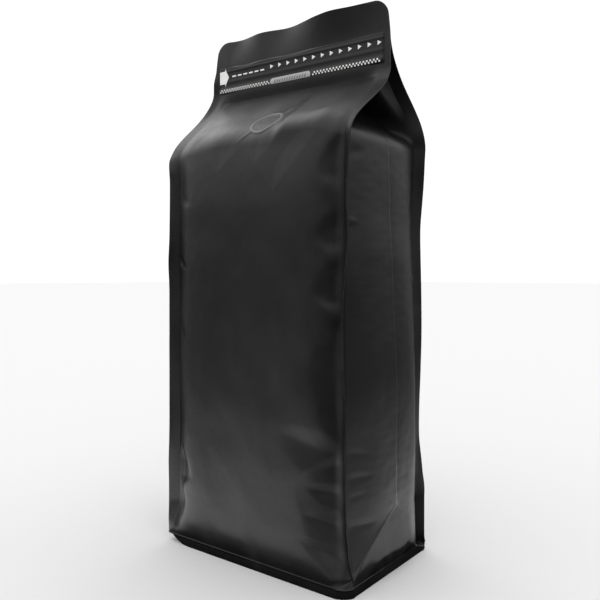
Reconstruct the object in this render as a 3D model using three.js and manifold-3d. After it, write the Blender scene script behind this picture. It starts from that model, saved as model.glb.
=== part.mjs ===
// A block bottom coffee bag: a filled bag of matt black film that stands on a flat base.
// Its front, back and two side gussets are welded along four corner fins, a low welded rim runs
// round the base, and the shoulders close into a flat header with a press-to-close zip across it.
// Millimetres, +Z up. The front faces -Y, and the origin is the middle of the base.
import * as THREE from "three";
import { mergeVertices } from "three/addons/utils/BufferGeometryUtils.js";
import Module from "manifold-3d";

// Driving sizes of the filled bag.
const bagHeight = 323.6;
const bodyHalfWidth = 62; // from the middle to the corner welds
const bodyHalfDepth = 37;
const finWidth = 8.2; // the corner fins, from weld to cut edge
const filmThickness = 0.8; // of a fin, two welded layers, thickened to a sturdy solid

// The rim round the base, where the bottom panel is welded on.
const rimHeight = 5;
const rimHalfWidth = 68.2;
const rimHalfDepth = 44.3;
const rimCorner = { foot: 8, top: 4 }; // its corners are cut rounder at the foot

// The body's belly starts this high, and the fins are clear of the film from there up.
const bellyBase = 24;

// Where the shoulders run in to the header: from and to what height, at each corner.
const shoulders = {
  frontLeft: { from: 238, to: 290 },
  frontRight: { from: 242, to: 286 },
  back: { from: 243, to: 303 },
};
const headerHalfGap = 0.45; // half the gap between the welds of front and back in the header
const headerHalfWidth = { low: 68, top: 66.6 };
const headerBase = 300; // all layers lie flat together from here up
const headerCornerRadius = 8;
const headerHalfThickness = headerHalfGap + filmThickness / 2;

// How far the panels swell past the corner welds.
const panelSwell = 9; // front and back
const gussetSwell = 10;
const gussetSag = 5.4; // how much less a gusset swells at its top
const gussetFilm = 38; // half the width of a gusset panel, along the film
const bottomFoldHeight = 42; // where the two slanting folds of a gusset meet its middle crease
const foldShare = { body: 0.9, tucked: 0.82 }; // the share of a gusset between its long folds

// How the fins stand at mid height, in degrees out from the bag's width.
const finLean = { frontLeft: 42, frontRight: 62, backRight: 86, backLeft: 70 };
const finLeanAtEnds = 43;

// The zip strip across the header's front, and the valve in the front shoulder.
const stripHalfWidth = 64.5;
const stripLow = 287.4;
const stripHigh = 305.6;
const stripThickness = 0.5;
const stripGap = 0.3;
const zipRib = { height: 290.1, halfHeight: 2.6, depth: 0.7 };
const tearBead = { height: 304.2, halfHeight: 0.8, depth: 0.35 };
const valve = { x: 4, height: 255, radius: 13.5, foot: 1.5, rise: 0.25 };
const valveRing = { radius: 11.6, halfWidth: 1.3, rise: 0.95 };

// How finely the solids are divided.
const panelSegments = 20;
const foldSegments = 3; // of a gusset between a weld and its fold
const gussetSegments = 12; // of a gusset between its folds

const film = new THREE.MeshStandardMaterial({ color: 0x1d1d1f, roughness: 0.45, metalness: 0 });
const strip = new THREE.MeshStandardMaterial({ color: 0x202022, roughness: 0.5, metalness: 0 });

const clamp = (t) => Math.min(1, Math.max(0, t));
const mix = (a, b, t) => a + (b - a) * t;
const mixPoint = (p, q, t) => [mix(p[0], q[0], t), mix(p[1], q[1], t)];

function ease(from, to, z) {
  const t = clamp((z - from) / (to - from));
  return t * t * (3 - 2 * t);
}

// Even steps from one value up to, not including, another.
function steps(from, to, size) {
  const count = Math.max(1, Math.round((to - from) / size));
  return Array.from({ length: count }, (_, i) => mix(from, to, i / count));
}

// --- Lines that run up the bag -------------------------------------------------------------

// Half width and half depth of the rectangle through the corner welds.
function weldHalfWidth(z) {
  const base = mix(rimHalfWidth - 1.2, bodyHalfWidth, ease(rimHeight, bellyBase, z));
  return mix(base, headerHalfWidth.low - finWidth, ease(242, 286, z));
}

function weldHalfDepth(z, shoulder) {
  const base = mix(rimHalfDepth - 1.2, bodyHalfDepth, ease(rimHeight, bellyBase, z));
  return mix(base, headerHalfGap, ease(shoulder.from, shoulder.to, z));
}

// The corner fins stand out diagonally at both ends, swing back a little at mid height, where
// the gussets press on them, and lie flat in the header.
function finAngle(z, lean) {
  const low = mix(finLeanAtEnds, lean, ease(bellyBase, 60, z));
  const high = mix(low, finLeanAtEnds, ease(165, 235, z));
  return THREE.MathUtils.degToRad(mix(high, 0, ease(244, 280, z)));
}

const swellUp = (z) => ease(rimHeight, bellyBase, z);
const frontSwellAt = (z) => panelSwell * swellUp(z) * (1 - ease(205, 282, z));
const backSwellAt = (z) => panelSwell * swellUp(z) * (1 - ease(210, 290, z));
const panelCrown = (u) => 1 - Math.abs(u) ** 3.6;
const gussetCrown = (v) => 0.18 * (1 - Math.abs(v)) + 0.82 * (1 - Math.abs(v) ** 3);

function gussetSwellAt(z) {
  const sag = gussetSag * clamp((z - 85) / 155) ** 1.6; // slacker towards the top
  return (gussetSwell - sag) * (1 - ease(238, 262, z));
}

// --- One corner ----------------------------------------------------------------------------

// A corner's four points: panel weld, two at the fin's edge, and gusset weld. At the rim the fin
// gives way to a rounded corner. sideX and sideY say which corner it is.
function cornerPoints(z, sideX, sideY, lean, shoulder) {
  const angle = finAngle(z, lean);
  const reach = finWidth * ease(rimHeight, bellyBase, z);
  const weld = [weldHalfWidth(z), weldHalfDepth(z, shoulder)];
  const along = [Math.cos(angle), Math.sin(angle)];
  const across = [-Math.sin(angle), Math.cos(angle)];
  const place = (out, over) => [0, 1].map((k) => weld[k] + along[k] * out + across[k] * over);
  const half = filmThickness / 2;
  const fin = [place(0, half), place(reach, half), place(reach, -half), place(0, -half)];
  const radius = mix(rimCorner.foot, rimCorner.top, clamp(z / rimHeight));
  const centre = [rimHalfWidth - radius, rimHalfDepth - radius];
  const rim = [90, 60, 30, 0].map((degrees) => {
    const turn = THREE.MathUtils.degToRad(degrees);
    return [centre[0] + radius * Math.cos(turn), centre[1] + radius * Math.sin(turn)];
  });
  const lift = ease(rimHeight, 13, z);
  return fin.map((p, k) => {
    const [x, y] = mixPoint(rim[k], p, lift);
    return [x * sideX, y * sideY];
  });
}

// --- The panels between the corners --------------------------------------------------------

// A front or back panel from its weld at one end to its weld at the other.
function panelPoints(start, end, swell, sideY) {
  const points = [];
  for (let i = 1; i < panelSegments; i++) {
    const t = i / panelSegments;
    const [x, y] = mixPoint(start, end, t);
    points.push([x, y + sideY * swell * panelCrown(2 * t - 1)]);
  }
  return points;
}

// Where a gusset is divided: -1 and +1 are its welds, and it folds at -share and +share.
function gussetDivisions(share) {
  const wing = steps(-1, -share, (1 - share) / foldSegments);
  const face = steps(-share, share, (2 * share) / gussetSegments);
  return [...wing, ...face, ...wing.map((v) => -v).reverse()].slice(1, -1);
}

// A gusset panel from one weld to the other. It swells over the body, two slanting folds cut it
// off at the bottom, and at the shoulder its middle tucks in between the front and the back.
function gussetPoints(z, start, end) {
  const side = Math.sign(start[0]);
  const outer = Math.abs(start[0]);
  const middle = (start[1] + end[1]) / 2;
  const halfGap = (end[1] - start[1]) / 2;
  const tuck = ease(shoulders.frontRight.from - 2, shoulders.frontRight.from + 14, z);
  const share = mix(foldShare.body, foldShare.tucked, tuck);
  const face = Math.abs(halfGap) * share;
  const slack = (gussetFilm - face) ** 2 - (Math.abs(halfGap) - face) ** 2;
  const depth = Math.sqrt(Math.max(0, slack)) * tuck;
  const bellyX = bodyHalfWidth + gussetSwell;
  const flapX = mix(rimHalfWidth, bellyX, clamp((z - rimHeight) / (bottomFoldHeight - rimHeight)));
  const overFlap = z > bottomFoldHeight ? 1 : 0;
  return gussetDivisions(share).map((v) => {
    const swollen = outer + gussetSwellAt(z) * gussetCrown(v);
    const x = overFlap ? swollen : Math.min(swollen, flapX);
    const past = clamp((Math.abs(v) - share) / (1 - share));
    return [side * (x - depth * (1 - past)), middle + halfGap * v];
  });
}

// One closed ring of the bag at a height, anticlockwise from above.
function ringAt(z) {
  const frontLeft = cornerPoints(z, -1, -1, finLean.frontLeft, shoulders.frontLeft);
  const frontRight = cornerPoints(z, 1, -1, finLean.frontRight, shoulders.frontRight);
  const backRight = cornerPoints(z, 1, 1, finLean.backRight, shoulders.back);
  const backLeft = cornerPoints(z, -1, 1, finLean.backLeft, shoulders.back);
  const ring = [
    ...panelPoints(frontLeft[0], frontRight[0], frontSwellAt(z), -1),
    ...frontRight,
    ...gussetPoints(z, frontRight[3], backRight[3]),
    ...backRight.reverse(),
    ...panelPoints(backRight[3], backLeft[0], backSwellAt(z), 1),
    ...backLeft,
    ...gussetPoints(z, backLeft[3], frontLeft[3]),
    ...frontLeft.reverse(),
  ];
  return ring.map(([x, y]) => new THREE.Vector3(x, y, z));
}

// --- Solids --------------------------------------------------------------------------------

// A closed solid through rings of equal length, with both ends capped.
function loft(rings) {
  const count = rings[0].length;
  const positions = rings.flat().flatMap((p) => [p.x, p.y, p.z]);
  const index = [];
  for (let r = 0; r + 1 < rings.length; r++) {
    for (let i = 0; i < count; i++) {
      const a = r * count + i;
      const b = r * count + ((i + 1) % count);
      index.push(a, b, b + count, a, b + count, a + count);
    }
  }
  const cap = (ring) => {
    const outline = ring.map((p) => new THREE.Vector2(p.x, p.y));
    return THREE.ShapeUtils.triangulateShape(outline, []);
  };
  const top = (rings.length - 1) * count;
  for (const [a, b, c] of cap(rings[0])) index.push(a, c, b);
  for (const [a, b, c] of cap(rings.at(-1))) index.push(top + a, top + b, top + c);
  return new THREE.BufferGeometry()
    .setAttribute("position", new THREE.Float32BufferAttribute(positions, 3))
    .setIndex(index);
}

function bodyGeometry() {
  const heights = [
    ...steps(0, rimHeight, 2.5),
    ...steps(rimHeight, bellyBase, 2.7),
    ...steps(bellyBase, bottomFoldHeight, 4.5),
    ...steps(bottomFoldHeight, 54, 6),
    ...steps(54, 236, 13),
    ...steps(236, 296, 3),
    ...steps(296, headerBase, 2),
    headerBase,
  ];
  return loft(heights.map(ringAt));
}

// How far the header's middle surface stands from the plane of the zip, at the top edge.
const topRipple = new THREE.SplineCurve(
  [[-68, 2.5], [-50, 4.4], [-29, 0.4], [-10, 4.1], [9, -0.4], [30, -5.2], [45, -3], [68, -1.8]].map(
    ([x, y]) => new THREE.Vector2(x, y),
  ),
).getSpacedPoints(160);

function rippleAt(x, z) {
  const found = topRipple.findIndex((p) => p.x >= x);
  const at = topRipple[found < 0 ? topRipple.length - 1 : found];
  return at.y * clamp((z - stripHigh) / (bagHeight - stripHigh)) ** 1.3;
}

// The flat upper header, with rounded top corners and a ripple that grows towards the top edge.
function headerGeometry() {
  const half = headerHalfThickness - 0.03;
  const low = headerBase - 0.6;
  const cornerLow = bagHeight - headerCornerRadius;
  const heights = [low, ...steps(headerBase + 4, cornerLow, 4)];
  for (let degrees = 0; degrees <= 90; degrees += 15) {
    heights.push(cornerLow + headerCornerRadius * Math.sin(THREE.MathUtils.degToRad(degrees)));
  }
  const rings = heights.map((z) => {
    const up = Math.max(0, z - cornerLow);
    const inset = headerCornerRadius - Math.sqrt(Math.max(0, headerCornerRadius ** 2 - up ** 2));
    const taper = (z - headerBase) / (bagHeight - headerBase);
    const halfWidth = mix(headerHalfWidth.low, headerHalfWidth.top, taper) - 0.05 - inset;
    const front = [];
    const back = [];
    for (let i = 0; i <= panelSegments; i++) {
      const x = mix(-halfWidth, halfWidth, i / panelSegments);
      front.push(new THREE.Vector3(x, rippleAt(x, z) - half, z));
      back.unshift(new THREE.Vector3(x, rippleAt(x, z) + half, z));
    }
    return [...front, ...back];
  });
  return loft(rings);
}

// The strip over the zip: a thin band with the zip's rib and the tear bead standing out of it.
function stripGeometry() {
  const face = -headerHalfThickness - stripGap;
  const outline = new THREE.Shape();
  outline.moveTo(face, stripLow);
  outline.lineTo(face - stripThickness, stripLow + 0.6);
  for (const rib of [zipRib, tearBead]) {
    for (let degrees = 0; degrees <= 180; degrees += 30) {
      const turn = THREE.MathUtils.degToRad(degrees);
      outline.lineTo(
        face - stripThickness - rib.depth * Math.sin(turn),
        rib.height - rib.halfHeight * Math.cos(turn),
      );
    }
  }
  outline.lineTo(face - stripThickness, stripHigh - 0.3);
  outline.lineTo(face, stripHigh);
  const made = new THREE.ExtrudeGeometry(outline, {
    depth: 2 * stripHalfWidth,
    bevelEnabled: false,
  });
  // The outline is drawn in depth and height, and runs out along the bag's width.
  const turned = new THREE.Matrix4().makeBasis(
    new THREE.Vector3(0, 1, 0),
    new THREE.Vector3(0, 0, 1),
    new THREE.Vector3(1, 0, 0),
  );
  return made.applyMatrix4(turned).translate(-stripHalfWidth, 0, 0);
}

// The valve lies square to the sloping shoulder film at its own height.
function valvePlace() {
  const shoulder = { from: 240, to: 288 };
  const surface = (z) => -weldHalfDepth(z, shoulder) - frontSwellAt(z) - filmThickness / 2;
  const low = valve.height - valveRing.radius / 2;
  const high = valve.height + valveRing.radius / 2;
  const slope = Math.atan2(surface(high) - surface(low), high - low);
  const place = new THREE.Object3D();
  place.position.set(valve.x, surface(valve.height), valve.height);
  place.rotation.x = Math.PI / 2 - slope; // its own +Z points out of the film
  place.updateMatrix();
  return place.matrix;
}

// The film stretched over the one-way valve behind it: a low round boss with a raised ring.
function valveGeometry() {
  const { radius, foot, rise } = valve;
  const ring = valveRing;
  const profile = [
    [0, -foot],
    [radius, -foot],
    [ring.radius + ring.halfWidth, rise],
    [ring.radius + ring.halfWidth / 2, ring.rise],
    [ring.radius - ring.halfWidth / 2, ring.rise],
    [ring.radius - ring.halfWidth, rise],
    [0, rise],
  ];
  const points = profile.map(([r, z]) => new THREE.Vector2(r, z));
  return new THREE.LatheGeometry(points, 36).rotateX(Math.PI / 2).applyMatrix4(valvePlace());
}

// --- Joining and cutting -------------------------------------------------------------------

const wasm = await Module();
wasm.setup();

function toSolid(geometry) {
  const plain = geometry.clone();
  plain.deleteAttribute("normal");
  plain.deleteAttribute("uv");
  const merged = mergeVertices(plain, 1e-4);
  return new wasm.Manifold(
    new wasm.Mesh({
      numProp: 3,
      vertProperties: merged.attributes.position.array,
      triVerts: new Uint32Array(merged.index.array),
    }),
  );
}

function toGeometry(solid) {
  const made = solid.getMesh();
  return new THREE.BufferGeometry()
    .setAttribute("position", new THREE.BufferAttribute(made.vertProperties, 3))
    .setIndex(new THREE.BufferAttribute(made.triVerts, 1));
}

function piece(name, geometry, material) {
  geometry.computeVertexNormals();
  const mesh = new THREE.Mesh(geometry, material);
  mesh.name = name;
  return mesh;
}

const bag = new THREE.Group();
const filled = [bodyGeometry(), headerGeometry(), valveGeometry()].map(toSolid);
bag.add(piece("bag_film", toGeometry(wasm.Manifold.union(filled)), film));
bag.add(piece("zip_strip", stripGeometry(), strip));

export default bag;
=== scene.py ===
import math

import bmesh
import bpy
import numpy as np
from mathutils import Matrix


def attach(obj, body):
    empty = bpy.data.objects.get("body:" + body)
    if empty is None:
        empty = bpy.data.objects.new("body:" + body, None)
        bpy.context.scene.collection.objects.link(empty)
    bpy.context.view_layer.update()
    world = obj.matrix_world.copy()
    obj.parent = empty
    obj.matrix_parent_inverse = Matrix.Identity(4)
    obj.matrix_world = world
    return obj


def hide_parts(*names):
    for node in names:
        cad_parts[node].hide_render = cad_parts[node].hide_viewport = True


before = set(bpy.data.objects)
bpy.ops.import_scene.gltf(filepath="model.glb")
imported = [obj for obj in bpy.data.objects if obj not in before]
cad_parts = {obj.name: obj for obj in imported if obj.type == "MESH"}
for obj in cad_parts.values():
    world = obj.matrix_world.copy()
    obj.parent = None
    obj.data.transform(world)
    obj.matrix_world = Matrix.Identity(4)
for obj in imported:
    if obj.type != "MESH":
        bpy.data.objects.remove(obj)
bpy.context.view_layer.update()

mm = 0.001


def mix(a, b, t):
    return a + (b - a) * t


def share(start, end, value):  # how far value has come from start to end, 0 to 1
    return np.clip((value - start) / (end - start), 0.0, 1.0)


def ease(start, end, value):
    t = share(start, end, value)
    return t * t * (3 - 2 * t)


def fadeInOut(value, fadeIn, fadeOut):
    return ease(*fadeIn, value) * (1 - ease(*fadeOut, value))


def bell(value, middle, width):
    return np.exp(-((value - middle) / width) ** 2)


# how finely the tables of heights are read, and over how many of those steps each way they are smoothed
tableSteps = {"count": 160, "smoothed": 7}


def along(table, z):  # smooth value along a short list of (height, value) pairs
    heights, values = zip(*table)
    fine = np.linspace(heights[0], heights[-1], tableSteps["count"])
    rough = np.interp(fine, heights, values)
    window = np.hanning(2 * tableSteps["smoothed"] + 1)
    padded = np.pad(rough, tableSteps["smoothed"], mode="edge")
    return np.interp(z, fine, np.convolve(padded, window / window.sum(), mode="valid"))


# the waves that make a soft swell: each octave is finer and fainter than the one before
swellWaves = {"count": 7, "lengths": (0.7, 1.4), "finer": 1.9, "fainter": 0.6, "level": 5.0}


def ripples(a, b, size, seed, octaves=2):  # soft uneven swells, about -1 to 1
    rng = np.random.default_rng(seed)
    total = np.zeros(np.broadcast(a, b).shape)
    for octave in range(octaves):
        for _ in range(swellWaves["count"]):
            heading = rng.uniform(0, math.pi)
            length = size / swellWaves["finer"] ** octave * rng.uniform(*swellWaves["lengths"])
            phase = rng.uniform(0, 2 * math.pi)
            run = (a * math.cos(heading) + b * math.sin(heading)) * 2 * math.pi / length
            total += np.sin(run + phase) * swellWaves["fainter"] ** octave
    return total / swellWaves["level"]


def softMin(a, b, blend):
    t = share(-blend, blend, b - a)
    return mix(b, a, t) - blend * t * (1 - t)


# the bag's shape, in millimetres
bagShape = {
    "height": 323.6,
    "halfWidth": 62.0,          # to the corner welds
    "halfDepth": 37.0,
    "finThickness": 0.55,
    "rimHeight": 5.0,
    "rimHalfWidth": 68.2,
    "rimHalfDepth": 44.3,
    # the crease that runs round the top of the rim: how far out it goes, how far up it is, and its width
    "rimBead": (0.34, 0.2, 0.42),
    "rimLean": 0.2,             # how fast the film leans out above the rim
    "rimClear": 0.1,            # how far it starts out of the rim
    "rimSoft": 0.5,             # how softly it turns up from there
    "panelSwell": 9.0,
    # how far the panels hang out over the rim, by height
    "hang": [(5, 0.3), (8, 0.9), (12, 1.3), (16, 1.65), (20, 1.55), (26, 1.15), (34, 0.85), (50, 0.5),
             (75, 0.15), (100, 0)],
    "gussetSwell": 10.0,
    "gussetFilm": 38.0,         # the gusset's half width, laid flat
    "bottomFold": 39.0,         # height of the point where the bottom folds meet
    "headerBase": 300.0,
    "headerHalfWidth": (68.0, 66.6),
    "headerCorner": 8.0,
    "headerHalfThickness": 0.5,
    "headerFlattens": 2,        # above and below its base
    "topThins": (0.35, 1.0),    # by which share its top edge is thinner, and over which height
    "headerFin": 8.2,           # the fins' width there
    "headerGap": 0.3,           # how far from the middle the welds lie there
    "narrows": (242, 286),      # between these heights the welds move in towards the header
}

# what the corners share, and then each corner's own. By height, fin is the fin's width, lean its turn
# from the side's direction in degrees and wander how its weld strays. It goes into the header over
# shoulder and turns flat over flat; weldOut is how far its weld lies out below that, and twist turns its
# foot. round and foot are the rim's corner radii at its top and on the floor, seam is where on that
# round the tip sits, and step how far the gusset's side of it lies back. rimWeld is where the weld meets
# the rim: it runs in from there over rises and the tip over tipRises, and the film leaves the rim over
# leaves.
plainCorner = {
    "weldOut": 0.0, "twist": 0, "round": (2.5, 2.5), "seam": 0.5, "step": 0.0, "flat": (244, 280),
    "rises": (8, 26), "tipRises": (5, 25), "leaves": (5, 11),
}
corners = {
    "frontLeft": {
        **plainCorner, "side": (-1, -1), "shoulder": (238, 290), "flat": (230, 246), "weldOut": 1.1,
        "foot": (19, 12), "rimWeld": (62.8, 44.4),
        "fin": [(5, 8.0), (42, 8.0), (58, 7.0), (226, 6.9), (234, 7.0), (243, 9.5), (258, 9.9),
                (270, 8.8), (280, 8.2)],
        "lean": [(5, 34), (18, 14), (40, 14), (58, 29), (200, 29), (240, 31)],
        "wander": [(5, 0), (40, 0.3), (75, -0.4), (120, 0.5), (160, -0.2), (174, 0.9), (190, -0.1),
                   (244, 0)],
    },
    "frontRight": {
        **plainCorner, "side": (1, -1), "shoulder": (242, 286), "round": (6.2, 6.2), "foot": (9, 8),
        "seam": 0.92, "step": 0.5, "rimWeld": (68.0, 38.7), "rises": (8, 38),
        "fin": [(5, 8.2), (262, 8.2)],
        "lean": [(5, 45), (24, 44), (50, 57), (84, 58), (110, 62), (134, 66), (170, 63), (192, 52),
                 (212, 50), (226, 39), (240, 36)],
        "wander": [(5, 0), (45, 0.4), (75, -0.5), (105, 0.4), (145, -0.5), (180, 0.5), (204, -0.4),
                   (244, 0)],
    },
    "backRight": {
        **plainCorner, "side": (1, 1), "shoulder": (243, 303), "twist": -45, "foot": (5, 6),
        "rimWeld": (68.0, 41.7), "rises": (0.8, 7.5), "tipRises": (0, 10), "leaves": (0.2, 1.4),
        "fin": [(5, 6.9), (240, 6.9), (258, 8.2)],
        "lean": [(5, 66), (22, 65), (40, 61), (52, 76), (66, 91), (90, 86), (150, 76), (200, 57),
                 (232, 35), (240, 32)],
        "wander": [(5, 0), (42, 0.1), (73, 0.4), (103, 1.1), (121, 0.8), (164, -0.6), (195, -1.4),
                   (219, -0.3), (244, 0.6), (262, 0)],
    },
    "backLeft": {
        **plainCorner, "side": (-1, 1), "shoulder": (243, 303), "foot": (12, 9), "rimWeld": (65.0, 42.0),
        "fin": [(5, 7.6), (240, 7.6), (258, 8.2)],
        "lean": [(5, 45), (24, 46), (60, 66), (110, 72), (170, 62), (232, 43), (240, 40)],
        "wander": [(5, 0), (50, 0.5), (90, -0.5), (130, 0.6), (180, -0.8), (244, 0)],
    },
}

# what all four fins do, each between two heights unless it says otherwise
finShape = {
    "faceSteps": 6,               # points across each face of a fin
    "twisted": (30, 47),          # a twisted foot turns back straight
    "strays": (12, 24),           # the weld starts to wander
    "straightens": (242, 262),    # and stops
    "drawsIn": (236, 262),        # weldOut fades
    "curl": 0.10,                 # how far the edge curls, in radians
    "curlLength": 17.0,
    "curlShift": 1.3,             # how differently it does so on the two sides
    "curls": (24, 50),
    "uncurls": (225, 250),
    "cutHeight": 6.9,             # below this the rim's corner widens towards the floor
    "cutPower": 0.8,
    "cutEnds": (4.4, 5.6),
    "rimPower": 1.15,             # how full the rim's corner is
}
print("shape set out")


def weldHalfWidth(z):
    inHeader = bagShape["headerHalfWidth"][0] - bagShape["headerFin"]
    return mix(bagShape["halfWidth"], inHeader, ease(*bagShape["narrows"], z))


def weldHalfDepth(z, shoulder):
    return mix(bagShape["halfDepth"], bagShape["headerGap"], ease(*shoulder, z))


def rampDown(t, low, high):  # 1 to 0: a straight slope, rounded over its first and last shares
    slope = 1 / (1 - low / 2 - high / 2)
    t = np.clip(t, 0, 1)
    fallen = np.where(t < low, slope * t * t / (2 * low), slope * (t - low / 2))
    return 1 - np.where(t > 1 - high, 1 - slope * (1 - t) ** 2 / (2 * high), fallen)


def rimBead(z):
    out, above, wide = bagShape["rimBead"]
    return out * bell(z, bagShape["rimHeight"] + above, wide)


def cornerPoints(z, corner):
    # One corner for all heights: points from the panel's weld round the fin to the gusset's weld.
    shape, fin = bagShape, finShape
    sideX, sideY = corner["side"]
    angle = np.radians(along(corner["lean"], z))
    angle = mix(angle, 0.0, ease(*corner["flat"], z))
    angle = angle + math.radians(corner["twist"]) * (1 - ease(*fin["twisted"], z))
    toRim = 1 - ease(*corner["rises"], z)
    wander = along(corner["wander"], z) * fadeInOut(z, fin["strays"], fin["straightens"])
    out = corner["weldOut"] * (1 - ease(*fin["drawsIn"], z))
    rootX = weldHalfWidth(z) + wander + out
    rootY = weldHalfDepth(z, corner["shoulder"]) + out
    weldX = mix(rootX, corner["rimWeld"][0], toRim)
    weldY = mix(rootY, corner["rimWeld"][1], toRim)
    cut = np.clip(1 - (z / fin["cutHeight"]) ** fin["cutPower"], 0, 1) * (1 - ease(*fin["cutEnds"], z))
    roundX = mix(corner["round"][0], corner["foot"][0], cut)
    roundY = mix(corner["round"][1], corner["foot"][1], cut)

    def rimPoint(turn):  # turn is 1 where the panel ends and 0 where the gusset begins
        inX = 1 - math.cos(turn * math.pi / 2) ** fin["rimPower"]
        inY = 1 - math.sin(turn * math.pi / 2) ** fin["rimPower"]
        bead = rimBead(z)
        return shape["rimHalfWidth"] + bead - roundX * inX, shape["rimHalfDepth"] + bead - roundY * inY

    tipX, tipY = rimPoint(1 - corner["seam"])
    climb = ease(*corner["tipRises"], z)
    width = along(corner["fin"], z)
    off = ease(*corner["leaves"], z)
    half = shape["finThickness"] / 2
    # the fin curls a little towards its edge, differently at each corner
    curl = fin["curl"] * np.sin(z / fin["curlLength"] + sideX * fin["curlShift"] + sideY)
    curl = curl * fadeInOut(z, fin["curls"], fin["uncurls"])
    points = []
    steps = fin["faceSteps"]
    for k in range(2 * steps + 2):
        onPanelSide = k <= steps
        s = k / steps if onPanelSide else (2 * steps + 1 - k) / steps
        over = half if onPanelSide else -half
        bend = angle + s * s * curl
        reachX = mix(tipX, rootX + np.cos(bend) * width, climb) - weldX
        reachY = mix(tipY, rootY + np.sin(bend) * width, climb) - weldY
        finX = weldX + reachX * s - np.sin(angle) * over
        finY = weldY + reachY * s + np.cos(angle) * over
        rimX, rimY = rimPoint(1 - corner["seam"] * s if onPanelSide else (1 - corner["seam"]) * s)
        if not onPanelSide:
            rimX = rimX - corner["step"]
        x = mix(rimX, finX, off)
        y = mix(rimY, finY, off)
        points.append(np.stack([x * sideX, y * sideY, z], axis=-1))
    return np.stack(points, axis=1)  # height, point, xyz


def surfaceNormals(grid, outward):  # outward is roughly the way that they face
    down = np.gradient(grid, axis=0)
    across = np.gradient(grid, axis=1)
    normal = np.cross(across, down)
    normal /= np.maximum(np.linalg.norm(normal, axis=2, keepdims=True), 1e-9)
    facing = np.sign((normal * np.array(outward)).sum(axis=2).mean())
    return normal * facing


# along a fold, in shares of its length: where it begins and fades, and how it narrows
creaseRun = {"narrowest": 0.25, "before": 1.1, "fades": (0.35, 1.0), "begins": (-0.6, -0.1)}


def crease(a, b, start, end, height, above, below, sharp=0.5):
    # A fold from start, at a weld, to its far end. It is wide at the weld and runs out to nothing:
    # above and below are its two flanks' widths there, and height is in or out of the film.
    run = creaseRun
    startA, startB = start
    runA, runB = end[0] - startA, end[1] - startB
    length = math.hypot(runA, runB)
    runA, runB = runA / length, runB / length
    s = ((a - startA) * runA + (b - startB) * runB) / length
    upA, upB = (-runB, runA) if runA > 0 else (runB, -runA)
    t = (a - startA) * upA + (b - startB) * upB
    width = np.where(t > 0, above, below) * mix(run["narrowest"], 1, np.clip(1 - s, 0, run["before"]))
    tau = np.clip(np.abs(t) / width, 0, 1)
    section = mix(1 - ease(0, 1, tau), (1 - tau) ** 2, sharp)
    return height * section * fadeInOut(s, run["begins"], run["fades"])


# each fold: where it starts at a weld, where it runs out, how far it goes out of (or into) the film,
# and how wide its upper and lower flanks are at the weld, all in mm
frontFolds = [
    ((61, 73), (18, 83), -1.4, 17, 24),
    ((61, 52), (40, 55), -1.3, 7, 10),
    ((61, 36), (39, 40), -1.1, 8, 9),
    ((61, 20), (36, 28), -1.4, 7, 11),
    ((-62, 216), (-44, 210), -1.0, 24, 8),
    ((-62, 175), (-50, 171), -1.3, 6, 4),
    ((-62, 132), (-50, 127), -0.8, 11, 12),
]

backFolds = [
    ((61, 212), (42, 207), -1.3, 15, 6),
    ((61, 176), (38, 171), -1.6, 20, 7),
    ((61, 120), (42, 122), -1.2, 22, 14),
    ((61, 66), (24, 74), 1.5, 8, 18),
    ((61, 34), (42, 40), 1.0, 6, 10),
    ((-61, 226), (-44, 220), -1.3, 15, 6),
    ((-61, 190), (-40, 186), -1.4, 17, 6),
    ((-61, 150), (-34, 147), -1.5, 20, 9),
    ((-61, 92), (-30, 99), 1.5, 8, 19),
    ((-61, 52), (-40, 58), -1.1, 12, 6),
    ((-61, 24), (-42, 34), 1.0, 6, 9),
]

# beside its right weld the front film is drawn in between ridges, and beside the foot of its left one:
# by height, how far from the middle that begins, and how steeply it goes in
drawnIn = {
    "right": {
        "from": [(8, 60), (18, 52), (30, 43), (42, 38), (54, 34), (62, 39), (68, 50), (74, 61), (79, 61),
                 (84, 53), (90, 51), (104, 47), (115, 43), (122, 44), (130, 47), (138, 52), (143, 57),
                 (147, 61), (157, 41), (160, 43), (166, 48), (172, 53), (177, 60), (185, 46), (190, 45),
                 (197, 50), (203, 60), (206.5, 53), (209, 50), (213, 61), (219, 47), (227, 47), (236, 51),
                 (246, 62)],
        "slope": 0.28,
    },
    "left": {
        "from": [(5, 60), (10, 57), (18, 53), (28, 51), (34, 56), (38, 54), (43, 45), (49, 47), (55, 52),
                 (62, 59), (68, 66), (110, 68)],
        "slope": 0.3,
    },
    "round": 2.0,
    "appears": (20, 30),      # nowhere nearer to the middle than this
    "ends": 64.5,             # where it has come out again, at the weld
    "widths": (2.0, 16.0),    # it is never narrower, and where it is wider it goes in less steeply
}

# what the film does on the front and the back
panelFilm = {
    "swellEnds": (205, 282),     # the heights over which they lose their swell
    "foot": (6, 30),             # the heights over which they turn out from the rim
    "toWeld": 0.86,              # beyond this share of their half width they run to the weld
    "rimWaves": (44, 0.28),      # where they lean out over the rim: length and share
    "beadEnds": 0.9,             # the share of the half width where the rim's crease starts to fade
    "sharp": 0.25,               # how sharp the folds are
    "held": 2.6,                 # how far from a weld they are held down
    "footHolds": (6, 14),        # and by the foot, in height
    "swellStarts": (14, 40),     # soft swells lie all over it, from this height
    "swellFades": 22,            # until they fade over this, above each sheet's top
    "broad": (0.35, 60),         # there are broad ones and fine ones: height and size
    "fine": (0.10, 14),
    "fineShare": (0.25, 14),     # what is left of the fine ones away from the welds, and how soon
}

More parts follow.
